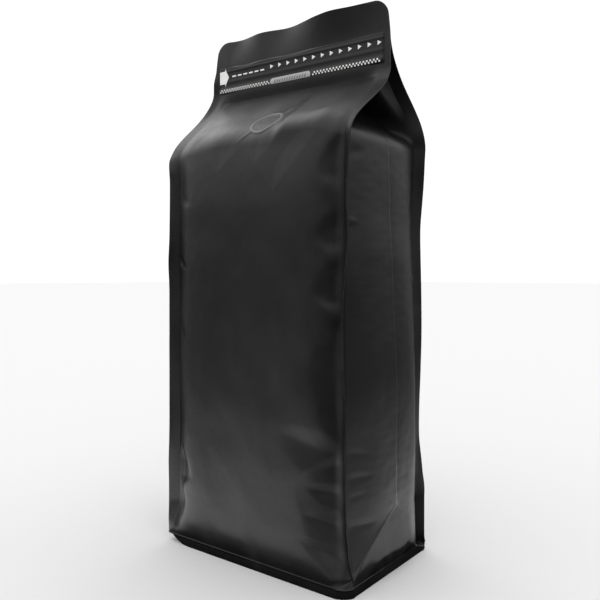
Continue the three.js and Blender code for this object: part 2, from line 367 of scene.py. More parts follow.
# creases that fan down from the shoulder: the lowest point, how fast the film falls back above it,
# how wide it opens and the height where it fades; and how high all of them are
shoulderFans = [
    (-25, 228, 0.06, 1.1, 238),
    (4, 231, 0.05, 1.0, 240),
    (19, 214, 0.055, 0.84, 238),
    (47, 236, 0.05, 1.0, 244),
]
fanHeight = 16

# each sheet bends in towards the header from start to end, with the slope rounded at its low and high
# end. bow is how boxy its left and right halves are, and its swells fade above top.
frontSheet = {
    "start": [(-62, 240.5), (-45, 241), (-28, 243.5), (-10, 244), (4, 241.5), (14, 241.5), (21, 248),
              (46, 247), (54, 243), (62, 242)],
    "end": 281.5,
    "low": 0.38,
    "high": 0.004,
    "bow": (6.0, 5.8),
    "top": 262,
    "seed": 11,
    "zip": 0.9,                   # how far the zip in the header pushes the film out under the strip
    "zipFrom": (280, 287.5),
    "zipTo": (289, 294),
    "zipPower": 8,                # how fully it does so out to the sides
}
backSheet = {
    "start": [(-62, 243), (62, 243)], "end": 290.0, "low": 0.4, "high": 0.3,
    "bow": (4.6, 4.6), "top": 270, "seed": 21,
}

valveRing = {
    "x": 2.0, "z": 257.0, "radius": 9.9, "ridge": 0.5, "width": 0.85,
    "plateau": (0.1, -2, 3),       # the film's rise within, and where that fades, from the radius
    "lean": 0.16,                  # the stiff valve leans to one side
    "outer": (11.6, 0.22, 0.6),    # a second, fainter ring on one side: radius, height, width
    "outerSide": (0.76, 0.65),
    "outerFades": (0.1, 0.6),
    "holes": [(-4.9, 0.6), (4.1, 1.6), (3.4, 4.4), (0.2, -3.6)],
    "holeRadius": 0.75,
    "holeDepth": 0.3,
    "ringHighlightWidth": 1.15,                  # half width of the painted highlight line over the ring
    "flatSize": (15, 11),          # half sizes of the flat that the valve makes
    "flatPower": 1.5,
    "patch": 8,                    # the rows and columns each way that give its direction
    # a slanting crease that runs past the valve: its direction, width, height and where it fades
    "crease": {"run": (0.78, 0.62), "width": 0.9, "height": 0.25, "fades": (16, 25)},
}


def panelGrid(z, us, start, end, facing, sheet):
    # us run from -1 at the first weld to 1 at the other; facing is -1 for the front and 1 for the back
    shape, film = bagShape, panelFilm
    rim, bow = shape["rimHeight"], sheet["bow"]
    t = ((us + 1) / 2)[None, :]
    zGrid = np.repeat(z[:, None], len(us), axis=1)
    x = mix(start[:, None, 0], end[:, None, 0], t)
    bendStart = along(sheet["start"], x)
    fallen = rampDown((zGrid - bendStart) / (sheet["end"] - bendStart), sheet["low"], sheet["high"])
    bulge = np.where(us > 0, 1 - np.abs(us) ** bow[1], 1 - np.abs(us) ** bow[0])[None, :]
    swell = shape["panelSwell"] * (1 - ease(*film["swellEnds"], zGrid)) * bulge
    depth = mix(shape["rimHalfDepth"], shape["halfDepth"] + swell, ease(*film["foot"], zGrid))
    depth = mix(shape["headerGap"], depth, fallen)
    # it runs to the welds over the last stretch on each side
    gaps = ((-us, facing * start[:, 1] - depth[:, 0]), (us, facing * end[:, 1] - depth[:, -1]))
    for outward, gap in gaps:
        depth = depth + gap[:, None] * share(film["toWeld"], 1, outward) ** 2
    # the film rolls out over the rim
    waveLength, waveShare = film["rimWaves"]
    uneven = 1 + waveShare * ripples(x, 0 * x, waveLength, sheet["seed"] + 5, 3)
    hang = along(shape["hang"], zGrid) * np.sqrt(np.maximum(bulge, 0))
    leaning = shape["rimHalfDepth"] + (zGrid - rim) * shape["rimLean"] * uneven + shape["rimClear"]
    rolled = softMin(depth + hang, leaning, shape["rimSoft"])
    depth = np.where(zGrid > rim + 0.05, rolled, depth)  # the ring on the rim itself stays in line
    return x, zGrid, depth + rimBead(zGrid) * (1 - share(film["beadEnds"], 1, np.abs(us)))[None, :]


def foldPush(x, z, us, folds, sheet, drawn=None):  # how far the folds push a panel's film out
    film = panelFilm
    fromWeld = (1 - np.abs(us))[None, :] * weldHalfWidth(z[:, 0])[:, None]
    push = np.zeros_like(x)
    for fold in folds:
        push += crease(x, z, *fold, sharp=film["sharp"])
    body = fadeInOut(z, film["swellStarts"], (sheet["top"], sheet["top"] + film["swellFades"]))
    push += film["broad"][0] * ripples(x, z, film["broad"][1], sheet["seed"]) * body
    least, reach = film["fineShare"]
    nearWeld = mix(least, 1, np.exp(-fromWeld / reach))
    push += film["fine"][0] * ripples(x, z, film["fine"][1], sheet["seed"] + 1) * body * nearWeld
    if drawn:
        for side, outward in ((drawn["left"], -x), (drawn["right"], x)):
            begins = along(side["from"], z)
            inside = outward - begins
            inside = (inside + np.hypot(inside, drawn["round"])) / 2 * ease(*drawn["appears"], outward)
            narrow, wide = drawn["widths"]
            span = np.maximum(drawn["ends"] - begins, narrow)
            slope = side["slope"] * np.minimum(1, wide / span)
            push -= slope * inside * np.clip(1 - (inside / span) ** 3, 0, 1)
    return push * (1 - bell(fromWeld, 0, film["held"])) * ease(*film["footHolds"], z)


def pressValve(grid, normal, x, z):  # the valve's edge presses a ring into the film that lies over it
    ring = valveRing
    row = int(np.argmin(np.abs(z - ring["z"])))
    column = int(np.argmin(np.abs(x[row] - ring["x"])))
    centre = grid[row, column].copy()
    ring["centre"] = tuple(centre * mm)  # the film's material paints a highlight line round it
    rows, columns = (slice(at - ring["patch"], at + ring["patch"] + 1) for at in (row, column))
    out = normal[rows, columns].mean(axis=(0, 1))
    out /= np.linalg.norm(out)
    offset = grid - centre
    offset -= (offset @ out)[:, :, None] * out
    offX, offZ = offset[:, :, 0], offset[:, :, 2]
    fromRing = np.linalg.norm(offset, axis=2) - ring["radius"]
    lift = ring["ridge"] * bell(fromRing, 0, ring["width"])
    rise, inside, outside = ring["plateau"]
    lift += rise * (1 - ease(inside, outside, fromRing))
    outerRadius, outerHeight, outerWidth = ring["outer"]
    sideX, sideZ = ring["outerSide"]
    r = fromRing + ring["radius"]
    onSide = ease(*ring["outerFades"], (offX * sideX + offZ * sideZ) / np.maximum(r, 0.1))
    lift += outerHeight * bell(r, outerRadius, outerWidth) * onSide
    for holeX, holeZ in ring["holes"]:
        lift -= ring["holeDepth"] * bell(np.hypot(offX - holeX, offZ - holeZ), 0, ring["holeRadius"])
    crossing = ring["crease"]
    runX, runZ = crossing["run"]
    slant = crossing["height"] * bell(offX * runZ - offZ * runX, 0, crossing["width"])
    lift += slant * fadeInOut(r, (ring["radius"] - 1, ring["radius"] + 1), crossing["fades"])
    return grid + out * lift[:, :, None]


def frontPanel(z, us, left, right):
    sheet, ring = frontSheet, valveRing
    x, zGrid, depth = panelGrid(z, us, left, right, -1, sheet)
    for lowX, lowZ, fall, opening, fades in shoulderFans:
        within = np.clip(zGrid - lowZ - np.abs(x - lowX) / opening, 0, fanHeight)
        depth = depth - fall * within * (1 - ease(fades, fades + fanHeight, zGrid))
    # the zip inside the header pushes the film out just under the strip
    underZip = sheet["zip"] * fadeInOut(zGrid, sheet["zipFrom"], sheet["zipTo"])
    depth = depth + underZip * (1 - np.abs(us) ** sheet["zipPower"])[None, :]
    # the stiff valve behind the film makes a flat that leans to one side
    halfWide, halfHigh = ring["flatSize"]
    near = ((x - ring["x"]) / halfWide) ** 2 + ((zGrid - ring["z"]) / halfHigh) ** 2
    depth = depth + ring["lean"] * (x - ring["x"]) * np.exp(-near ** ring["flatPower"])
    grid = np.stack([x, -depth, zGrid], axis=-1)
    normal = surfaceNormals(grid, (0, -1, 0.3))
    grid = grid + normal * foldPush(x, zGrid, us, frontFolds, sheet, drawnIn)[:, :, None]
    return pressValve(grid, normal, x, z)


def backPanel(z, us, right, left):
    x, zGrid, depth = panelGrid(z, us, right, left, 1, backSheet)
    grid = np.stack([x, depth, zGrid], axis=-1)
    normal = surfaceNormals(grid, (0, 1, 0.3))
    return grid + normal * foldPush(x, zGrid, us, backFolds, backSheet)[:, :, None]


gussetFolds = {
    1: [
        ((-36, 232), (-20, 236), -0.5, 9, 7),
        ((-36, 197.5), (-28, 197), 0.5, 3, 5),
        ((-36, 74), (-20, 72), -0.45, 5, 5),
        ((-36, 60), (-20, 61), -0.6, 6, 5),
        ((-36, 50), (-24, 53), -0.35, 4, 4),
        ((-36, 35), (-17, 36), -0.6, 6, 6),
        ((36, 208), (25, 204), -0.5, 12, 9),
        ((36, 164), (24, 167), 0.5, 4, 5),
        ((36, 124), (25, 124), -0.5, 9, 8),
        ((36, 36), (25, 34), -0.7, 10, 9),
    ],
    -1: [
        ((-36, 214), (-24, 211), -0.6, 10, 6),
        ((-36, 150), (-20, 147), -0.6, 12, 8),
        ((-36, 66), (-20, 69), 0.5, 5, 9),
        ((36, 186), (22, 183), -0.6, 12, 7),
        ((36, 112), (22, 114), -0.6, 11, 9),
        ((36, 54), (20, 57), 0.5, 5, 8),
    ],
}

bottomFlap = {
    "out": (1.55, 12),           # how far out of the rim it lies, and at which height
    "lean": 0.045,               # how fast it leans in as it rises
    "lift": 3.6,                 # how much further out it lies at the back than by the front corner
    "lifts": (-40, 10),
    "liftHeight": 11,            # the height over which it comes out by that
    "waves": (30, 0.3),          # where it leans out over the rim: length and share
    "seed": 41,
    "soft": 0.3,                 # how softly the gusset goes in under it
    "halfLength": 41,            # of the slanting folds along its edge
    "bow": 0.72,                 # below 1 they bow outwards
    "halves": (-4, 8),           # where its front half passes into its back half
    "roll": (3.2, 16.0),         # height over which the gusset rolls out above the fold: front, back
    "rollStarts": 0.6,           # below the fold
    "bead": (0.25, 1.6, 1.1),    # a ridge along the fold: height, how far above it, width
    "beadStarts": (8, 16),
    "beadEnds": (-2, 5),
    "crumple": (-7, 10.5, 0.4),  # where its lower edge is crumpled, along and up, and how much
    "crumpleSize": (6, 4.5),
    "crumpleWaves": (0.55, 0.45),
}

# the long folds lie at foldShare of the gusset's half depth, less where it is tucked in
gussetShape = {
    "foldShare": (0.9, 0.82),
    "tucks": (240, 256),
    "keptFrom": 238,                      # above this it is kept between the two panels
    "keptGap": (0.5, 4),                  # how far off them, and how far in from the weld
    "sags": (85, 240),                    # it swells less and less between these heights, by sag
    "sag": 5.4,
    "sagPower": 1.6,
    "swellEnds": (238, 262),
    "crown": 0.94,                        # how much of its swell is boxy rather than straight-sided
    "boxy": (3.4, 2.7),                   # how boxy it is: the foot of its back half, and elsewhere
    "boxyFoot": (30, 110),
    "valley": (0.6, 4.0, 0.8),            # the middle crease: depth, and its width behind and in front
    "ridge": (0.16, -1.6, 1.3),           # and the faint ridge in front of it: height, place, width
    "valleyStarts": (36, 44),
    "held": 2.2,                          # how far from a weld its folds are held down
    "footHolds": (8, 20),                 # and by the foot, in height
    "swells": ((0.22, 55), (0.07, 11)),   # height and size of the uneven swells, broad and fine
    "swellSpan": ((16, 44), (236, 250)),  # where they begin, and where they fade
    "fineStretch": 0.6,                   # the fine ones are longer than high by this
    "seed": 31,
    "joins": 4,                           # over this below the header it comes in between the welds
}


def layFlap(swollen, y, zGrid, side):  # below its slanting folds the flat flap of the bottom lies over it
    shape, flap = bagShape, bottomFlap
    rim = shape["rimHeight"]
    plane = shape["rimHalfWidth"] - (corners["frontRight"]["step"] if side > 0 else 0)
    waveLength, waveShare = flap["waves"]
    uneven = 1 + waveShare * ripples(y, 0 * y, waveLength, flap["seed"] + side, 4)
    lift = flap["lift"] * ease(*flap["lifts"], y)
    lean = (shape["rimLean"] + lift / flap["liftHeight"]) * uneven
    out, outAt = flap["out"]
    upright = plane + out + lift - (zGrid - outAt) * flap["lean"]
    rolled = softMin(plane + shape["rimClear"] + (zGrid - rim) * lean, upright, shape["rimSoft"])
    lying = softMin(swollen, np.where(zGrid > rim, rolled, plane) + rimBead(zGrid), flap["soft"])
    # and over the fold the gusset rolls out
    nearMiddle = np.clip(1 - np.abs(y) / flap["halfLength"], 0, 1)
    line = rim + (shape["bottomFold"] - rim) * nearMiddle ** flap["bow"]
    roll = mix(*flap["roll"], ease(*flap["halves"], y))
    up = np.clip((zGrid - line + flap["rollStarts"]) / roll, 0, 1)
    x = mix(lying, swollen, np.sqrt(1 - (1 - up) ** 2))
    bead, beadAbove, beadWidth = flap["bead"]
    bead = bead * bell(zGrid - line, beadAbove, beadWidth)
    x = x + bead * ease(*flap["beadStarts"], zGrid) * (1 - ease(*flap["beadEnds"], y))
    crumpleY, crumpleZ, crumple = flap["crumple"]
    waveY, waveZ = flap["crumpleWaves"]
    wide, tall = flap["crumpleSize"]
    crumple = crumple * bell(y, crumpleY, wide) * bell(zGrid, crumpleZ, tall)
    return x + crumple * np.sin(y * waveY + zGrid * waveZ)


def gussetPanel(z, vs, start, end, side):
    # vs run from -1 at the front weld to 1 at the back weld
    shape, gusset = bagShape, gussetShape
    outer = np.abs(mix(start[:, None, 0], end[:, None, 0], (vs[None, :] + 1) / 2))
    middle = ((start[:, 1] + end[:, 1]) / 2)[:, None]
    halfGap = ((end[:, 1] - start[:, 1]) / 2)[:, None]
    tuck = ease(*gusset["tucks"], z)[:, None]
    evenShare = gusset["foldShare"][0]
    foldShare = mix(*gusset["foldShare"], tuck)
    v = np.repeat(vs[None, :], len(z), axis=0)
    # move the points so that one always sits on each long fold
    inner = np.abs(vs) <= evenShare + 1e-6
    v = np.where(inner[None, :], v * foldShare / evenShare,
                 np.sign(v) * (1 - (1 - np.abs(v)) * (1 - foldShare) / (1 - evenShare)))
    gap = np.abs(halfGap)
    face = gap * foldShare
    depth = np.sqrt(np.maximum((shape["gussetFilm"] - face) ** 2 - (gap - face) ** 2, 0)) * tuck
    sag = gusset["sag"] * share(*gusset["sags"], z) ** gusset["sagPower"]
    swell = ((shape["gussetSwell"] - sag) * (1 - ease(*gusset["swellEnds"], z)))[:, None]
    zGrid = np.repeat(z[:, None], len(vs), axis=1)
    boxy = np.where(v > 0, mix(*gusset["boxy"], ease(*gusset["boxyFoot"], zGrid)), gusset["boxy"][1])
    crown = mix(1 - np.abs(v), 1 - np.abs(v) ** boxy, gusset["crown"])
    y = v * gap
    # the long crease down the middle
    deep, behind, before = gusset["valley"]
    high, place, wide = gusset["ridge"]
    valley = high * bell(y, place, wide)
    valley = valley - deep * np.exp(-np.clip(y, 0, None) / behind - np.clip(-y, 0, None) / before)
    swollen = outer + swell * crown + valley * ease(*gusset["valleyStarts"], z)[:, None] * (1 - tuck)
    x = layFlap(swollen, y, zGrid, side)
    push = np.zeros_like(x)
    for fold in gussetFolds[side]:
        push += crease(y, zGrid, *fold)
    body = fadeInOut(zGrid, *gusset["swellSpan"])
    (broad, broadSize), (fine, fineSize) = gusset["swells"]
    push += broad * ripples(y, zGrid, broadSize, gusset["seed"] + side) * body
    push += fine * ripples(y * gusset["fineStretch"], zGrid, fineSize, gusset["seed"] + 2 + side) * body
    hold = 1 - bell((1 - np.abs(v)) * gap, 0, gusset["held"])
    x = x + push * hold * ease(*gusset["footHolds"], zGrid)
    x = x - depth * (1 - share(foldShare, 1, np.abs(v)))
    x = mix(x, outer, ease(shape["headerBase"] - gusset["joins"], shape["headerBase"], zGrid))
    return np.stack([side * x, middle + halfGap * v, zGrid], axis=-1)


# the header's top edge waves out of its plane, across the bag, and its left edge curls back
headerWave = {
    "shape": [(-68, 2.0), (-59, 2.2), (-55, 3.8), (-50, 4.5), (-45, 4.1), (-37.5, 2.2), (-31, 0.5),
              (-26, 0.5), (-21, 1.4), (-17, 2.5), (-13, 3.7), (-9, 4.1), (-3, 3.4), (3, 1.6), (9, -0.4),
              (15, -2.4), (20.5, -3.8), (26, -4.9), (30, -5.3), (34, -4.9), (38, -4.2), (42, -3.4),
              (50, -2.8), (61, -2.0), (68, -1.6)],
    "from": 305.4,         # the height where it begins
    "power": 1.35,
    "curl": 2.2,
    "curlWidth": (64.6, 68),
    "curls": (262, 282),
    "uncurls": (294, 306),
}


def headerShift(x, z):
    wave = headerWave
    growth = share(wave["from"], bagShape["height"], z) ** wave["power"]
    curl = wave["curl"] * ease(*wave["curlWidth"], -x) * fadeInOut(z, wave["curls"], wave["uncurls"])
    return along(wave["shape"], x) * growth - curl


# the points round the bag, by share of a panel's half width: across the valve they are closer together
filmColumns = {
    "front": [(-1, -0.18, 84), (-0.18, 0.28, 60), (0.28, 1, 73)],
    "back": [(-1, 1, 90)],
    "halfGusset": 37,     # up to its long fold
    "pastFold": 9,
    "headerCorner": 16,   # rings up the header's round corners
}


def spread(stretches):  # each is where it runs from and to, and how many places lie along it
    return np.concatenate([np.linspace(a, b, n, endpoint=False) for a, b, n in stretches])


def ringHeights():
    shape = bagShape
    rim = shape["rimHeight"]
    low = shape["height"] - shape["headerCorner"]
    stretches = [
        (0, 0.35, 2), (0.35, rim - 0.4, 6), (rim - 0.4, rim + 0.8, 9), (rim + 0.8, 45, 74), (45, 236, 170),
        (236, 244, 10), (244, 269, 46), (269, frontSheet["end"], 20), (frontSheet["end"], 296, 22),
        (296, 301, 8), (301, low, 16),
    ]
    turns = np.linspace(0, math.pi / 2, filmColumns["headerCorner"])
    return np.concatenate([spread(stretches), low + shape["headerCorner"] * np.sin(turns)])


def keptInside(gusset, front, back):  # where it is tucked in at the top, it stays between the two panels
    x, y = gusset[:, :, 0], gusset[:, :, 1]
    most, within = gussetShape["keptGap"]
    for row in np.nonzero(gusset[:, 0, 2] > gussetShape["keptFrom"])[0]:
        gap = most * np.clip((np.abs(x[row, 0]) - np.abs(x[row])) / within, 0, 1)
        order = np.argsort(back[row, :, 0])
        low = np.interp(x[row], front[row, :, 0], front[row, :, 1]) + gap
        high = np.interp(x[row], back[row, order, 0], back[row, order, 1]) - gap
        y[row] = np.clip(y[row], np.minimum(low, high), np.maximum(low, high))
    return gusset


def filmMesh():
    shape = bagShape
    z = ringHeights()
    corner = {name: cornerPoints(z, spec) for name, spec in corners.items()}
    frontColumns, backColumns = (np.append(spread(filmColumns[name]), 1) for name in ("front", "back"))
    foldShare = gussetShape["foldShare"][0]
    halfFace = np.linspace(0, foldShare, filmColumns["halfGusset"])
    wing = np.linspace(foldShare, 1, filmColumns["pastFold"])[1:]
    vs = np.concatenate([-wing[::-1], -halfFace[:0:-1], halfFace, wing])
    front = frontPanel(z, frontColumns, corner["frontLeft"][:, 0], corner["frontRight"][:, 0])
    back = backPanel(z, backColumns, corner["backRight"][:, 0], corner["backLeft"][:, 0])
    right = gussetPanel(z, vs, corner["frontRight"][:, -1], corner["backRight"][:, -1], 1)
    left = gussetPanel(z, vs, corner["frontLeft"][:, -1], corner["backLeft"][:, -1], -1)
    right = keptInside(right, front, back)
    left = keptInside(left, front, back)[:, ::-1]
    loop = np.concatenate([
        front[:, :-1],
        corner["frontRight"][:, :-1], right[:, :-1],
        corner["backRight"][:, :0:-1], back[:, :-1],
        corner["backLeft"][:, :-1], left[:, :-1],
        corner["frontLeft"][:, :0:-1],
    ], axis=1)
    # the header: all layers together, its corners rounded, its top edge rippled
    zGrid = loop[:, :, 2]
    base, top, radius = shape["headerBase"], shape["height"], shape["headerCorner"]
    up = np.clip(zGrid - (top - radius), 0, radius)
    inset = radius - np.sqrt(np.maximum(radius ** 2 - up ** 2, 0))
    width = mix(*shape["headerHalfWidth"], share(base, top, zGrid)) - inset
    loop[:, :, 0] *= np.where(zGrid > base, width / shape["headerHalfWidth"][0], 1)
    flat = ease(base - shape["headerFlattens"], base + shape["headerFlattens"], zGrid)
    thins, below = shape["topThins"]
    limit = shape["headerHalfThickness"] * (1 - thins * ease(top - below, top, zGrid))
    loop[:, :, 1] = mix(loop[:, :, 1], np.clip(loop[:, :, 1], -limit, limit), flat)
    loop[:, :, 1] += headerShift(loop[:, :, 0], zGrid)
    return loop


def makePiece(name, vertices, faces, sharpFrom, weldWithin=0):
    # vertices are in mm, and edges sharper than sharpFrom degrees stay sharp
    mesh = bpy.data.meshes.new(name)
    mesh.from_pydata((np.array(vertices) * mm).tolist(), [], faces)
    mesh.validate()
    work = bmesh.new()
    work.from_mesh(mesh)
    bmesh.ops.triangulate(work, faces=[face for face in work.faces if len(face.verts) > 4])
    if weldWithin:
        bmesh.ops.remove_doubles(work, verts=work.verts, dist=weldWithin * mm)
    bmesh.ops.recalc_face_normals(work, faces=work.faces)
    work.to_mesh(mesh)
    work.free()
    for polygon in mesh.polygons:
        polygon.use_smooth = True
    mesh.set_sharp_from_angle(angle=math.radians(sharpFrom))
    piece = bpy.data.objects.new(name, mesh)
    bpy.context.scene.collection.objects.link(piece)
    return piece


def filmPiece(name, loop):  # closed rings of points, lowest first, capped below and above
    rows, columns = loop.shape[:2]
    index = np.arange(rows * columns).reshape(rows, columns)
    after = np.roll(index, -1, axis=1)
    quads = np.stack([index[:-1], after[:-1], after[1:], index[1:]], axis=-1).reshape(-1, 4)
    faces = quads.tolist() + [index[0, ::-1].tolist(), index[-1].tolist()]
    return makePiece(name, loop.reshape(-1, 3), faces, sharpFrom=32, weldWithin=0.002)


film = filmPiece("bag_film_skin", filmMesh())
print("film made:", len(film.data.polygons), "faces")

# the zip strip across the header
zipStrip = {
    "halfWidth": 64.5,
    "low": 287.4,
    "high": 305.6,
    "back": 0.42,
    "face": 1.1,
    # raised lines along it: height, half width, rise
    "ribs": [(290.1, 2.9, 0.6), (295.6, 1.9, 0.18), (302.6, 1.5, 0.22)],
    "slope": 0.5,
    # where its top edge slopes back wide enough to catch the light: x, spread, width
    "slopes": [(-40, 8, 1.6), (-3, 13, 1.5), (52, 9, 0.5)],
    "lowSlope": 1.6,           # widths of its other edges, and how far they stand off the header
    "endSlope": 1.2,
    "edge": 0.12,
    "waves": (0.05, 30, 2.2),  # uneven swells: height, size, how much shorter they are upwards
    "points": (260, 74),
}


def stripFace(x, z):  # how far the strip's front stands forward of the header's middle
    strip = zipStrip
    out = np.full(np.broadcast(x, z).shape, strip["face"])
    for height, half, rise in strip["ribs"]:
        out = out + rise * np.cos(np.clip((z - height) / half, -1, 1) * math.pi / 2) ** 2
    waveHeight, waveSize, shorter = strip["waves"]
    out = out + waveHeight * ripples(x, z * shorter, waveSize, 51)
    slope = strip["slope"]
    for middle, reach, width in strip["slopes"]:
        slope = slope + width * bell(x, middle, reach)
    edge = ease(0, 1, (strip["high"] - z) / slope) * ease(0, strip["lowSlope"], z - strip["low"])
    edge = edge * ease(0, strip["endSlope"], strip["halfWidth"] - np.abs(x))
    return mix(strip["back"] + strip["edge"], out, edge)


def shellPiece(name, sheets):  # each sheet is a front grid and a back grid, closed round its edge
    vertices, faces = [], []
    for front, back in sheets:
        rows, columns = front.shape[:2]
        base = len(vertices)
        index = np.arange(rows * columns).reshape(rows, columns)
        behind = index + rows * columns + base
        index = index + base
        vertices += front.reshape(-1, 3).tolist() + back.reshape(-1, 3).tolist()
        quads = np.stack([index[:-1, :-1], index[:-1, 1:], index[1:, 1:], index[1:, :-1]], axis=-1)
        faces += quads.reshape(-1, 4).tolist()
        quads = np.stack([behind[:-1, :-1], behind[1:, :-1], behind[1:, 1:], behind[:-1, 1:]], axis=-1)
        faces += quads.reshape(-1, 4).tolist()
        frontEdge, backEdge = (np.concatenate([grid[0, :-1], grid[:-1, -1], grid[-1, :0:-1], grid[:0:-1, 0]])
                               for grid in (index, behind))
        quads = np.stack([frontEdge, backEdge, np.roll(backEdge, -1), np.roll(frontEdge, -1)], axis=-1)
        faces += quads.tolist()
    return makePiece(name, vertices, faces, sharpFrom=50)


def stripPiece():
    strip = zipStrip
    columns, rows = strip["points"]
    x, z = np.meshgrid(np.linspace(-strip["halfWidth"], strip["halfWidth"], columns),
                       np.linspace(strip["low"], strip["high"], rows))
    front = np.stack([x, -stripFace(x, z), z], axis=-1)
    back = np.stack([x, np.full_like(x, -strip["back"]), z], axis=-1)
    return shellPiece("zip_strip_band", [(front, back)])


band = stripPiece()
print("zip strip made")

# the print on the strip: an arrow, dashes, triangles, a checked line and a label
printMarks = {
    "proud": 0.06,
    "sunk": 0.1,
    "step": 0.9,          # a mark has a point at least every so far along
    "narrowest": 0.04,
    "arrow": {"start": -64.2, "neck": -58.8, "tip": -55.6, "height": 298.9, "body": 4.2, "head": 6.0},
    "dashes": {"first": -52.4, "pitch": 4.9, "count": 6, "length": 3.3, "half": 0.45, "height": 298.9},
    "triangles": {"first": -19.5, "pitch": 6.63, "count": 13, "length": 2.5, "half": 1.35, "height": 299.9},
    "checks": {"start": -64.3, "end": 62.4, "side": 1.17, "height": 289.95, "full": 0.87},
    "label": {"middle": -3.3, "halfLength": 16.0, "half": 2.2, "height": 289.9, "clear": 0.9},
    "hatch": {"first": -15.3, "pitch": 2.0, "count": 13, "half": 1.0, "height": 289.9, "wide": 0.85,
              "slant": 0.5, "proud": 0.09},
}


def printed(name, marks, proud=printMarks["proud"]):
    # a mark is a list of rows, lowest first, each (height, left, right)
    sheets = []
    for rows in marks:
        widest = max(right - left for _, left, right in rows)
        columns = int(widest / printMarks["step"]) + 2
        z = np.array([row[0] for row in rows])[:, None]
        t = np.linspace(0, 1, columns)[None, :]
        left = np.array([row[1] for row in rows])[:, None]
        right = np.array([row[2] for row in rows])[:, None]
        x = mix(left, np.maximum(right, left + printMarks["narrowest"]), t)
        z = np.broadcast_to(z, x.shape)
        face = stripFace(x, z)
        front = np.stack([x, -(face + proud), z], axis=-1)
        back = np.stack([x, -(face - printMarks["sunk"]), z], axis=-1)
        sheets.append((front, back))
    return shellPiece(name, sheets)


def arrowMarks():
    arrow = printMarks["arrow"]
    middle = arrow["height"]

    def tipAt(t):  # t runs from -1 to 1 up the head
        return mix(arrow["neck"], arrow["tip"], 1 - abs(t))

    body = [(middle + t * arrow["body"], arrow["start"], tipAt(t * arrow["body"] / arrow["head"]))
            for t in np.linspace(-1, 1, 15)]
    barbs = []
    for side in (-1, 1):
        rows = [(middle + t * arrow["head"] * side, arrow["neck"], tipAt(t))
                for t in np.linspace(arrow["body"] / arrow["head"], 1, 5)]
        barbs.append(rows if side > 0 else rows[::-1])
    return [body] + barbs


def rowOfMarks(mark, steps, leftAt, rightAt):  # marks side by side; t runs from -1 to 1 up each
    starts = [mark["first"] + k * mark["pitch"] for k in range(mark["count"])]
    return [[(mark["height"] + t * mark["half"], x + leftAt(t), x + rightAt(t))
             for t in np.linspace(-1, 1, steps)] for x in starts]


def dashMarks():
    dash = printMarks["dashes"]
    return rowOfMarks(dash, steps=3, leftAt=lambda t: 0, rightAt=lambda t: dash["length"])


def triangleMarks():
    mark = printMarks["triangles"]
    return rowOfMarks(mark, steps=7, leftAt=lambda t: 0, rightAt=lambda t: mark["length"] * (1 - abs(t)))


def hatchMarks():
    hatch = printMarks["hatch"]
    slant, half = hatch["slant"], hatch["wide"] / 2
    return rowOfMarks(hatch, steps=3, leftAt=lambda t: t * slant - half, rightAt=lambda t: t * slant + half)


def checkMarks():
    check, label = printMarks["checks"], printMarks["label"]
    side = check["side"]
    marks = []
    for k in range(int((check["end"] - check["start"]) / side)):
        left = check["start"] + k * side
        if abs(left + side / 2 - label["middle"]) > label["halfLength"] + label["clear"]:
            low = check["height"] - side * (k % 2)
            full = side * check["full"]
            marks.append([(low + t * full, left, left + full) for t in (0, 0.5, 1)])
    return marks


def labelMarks():
    label = printMarks["label"]
    rows = []
    for t in np.sin(np.linspace(-math.pi / 2, math.pi / 2, 15)):
        end = label["halfLength"] - label["half"] * (1 - math.sqrt(max(1 - t * t, 0)))
        rows.append((label["height"] + t * label["half"], label["middle"] - end, label["middle"] + end))
    return [rows]


printPieces = {
    "white": [printed("print_arrow", arrowMarks()), printed("print_dashes", dashMarks()),
              printed("print_triangles", triangleMarks()), printed("print_checked_line", checkMarks())],
    "grey": [printed("print_label", labelMarks())],
    "dark": [printed("print_label_hatch", hatchMarks(), printMarks["hatch"]["proud"])],
}
print("print laid on the strip")

finish = {
    "filmBlack": (0.0026, 0.0026, 0.0027, 1),
    "filmDusty": (0.0052, 0.0052, 0.0053, 1),    # where hands and dust have dulled it
    "filmRubbed": (0.016, 0.016, 0.016, 1),      # along creases and edges
    "filmRingHighlight": (0.15, 0.15, 0.148, 1),          # a painted highlight over the valve's edge
    "flecks": 0.02,             # how much rougher they make it
    "grainDepth": 0.000012,     # depths are in metres, and scales per metre
    "grain": {"Scale": 2400, "Fleck Share": 0.35},
    "rub": {"Breakup Scale": 420, "Amount": 0.8},
    "slack": {"Scale": 70, "Fine Share": 0.3},
    "streaks": 0.45,
    "bag": {"roughness": (0.37, 0.44), "slackDepth": 0.00022, "smudgeScale": 26, "paintedRingHighlight": True},
    "strip": {"roughness": (0.33, 0.40), "slackDepth": 0.000055, "smudgeScale": 78, "paintedRingHighlight": False},
}


def newMaterial(name):
    material = bpy.data.materials.new(name)
    material.use_nodes = True
    return material, material.node_tree.nodes, material.node_tree.links


def newGroup(name, inputs, outputs):
    group = bpy.data.node_groups.new(name, "ShaderNodeTree")
    for label, value in inputs:
        socket = group.interface.new_socket(label, in_out="INPUT", socket_type="NodeSocketFloat")
        socket.default_value = value
    for label in outputs:
        group.interface.new_socket(label, in_out="OUTPUT", socket_type="NodeSocketFloat")
    given = group.nodes.new("NodeGroupInput").outputs
    wanted = group.nodes.new("NodeGroupOutput").inputs
    return group, given, wanted


def feed(tree, socket, value):  # a number or colour is set, and anything else is wired up
    if isinstance(value, (int, float, tuple)):
        socket.default_value = value
    else:
        tree.links.new(value, socket)


def addMath(tree, operation, first, second=0.0):
    step = tree.nodes.new("ShaderNodeMath")
    step.operation = operation
    feed(tree, step.inputs[0], first)
    feed(tree, step.inputs[1], second)
    return step.outputs[0]


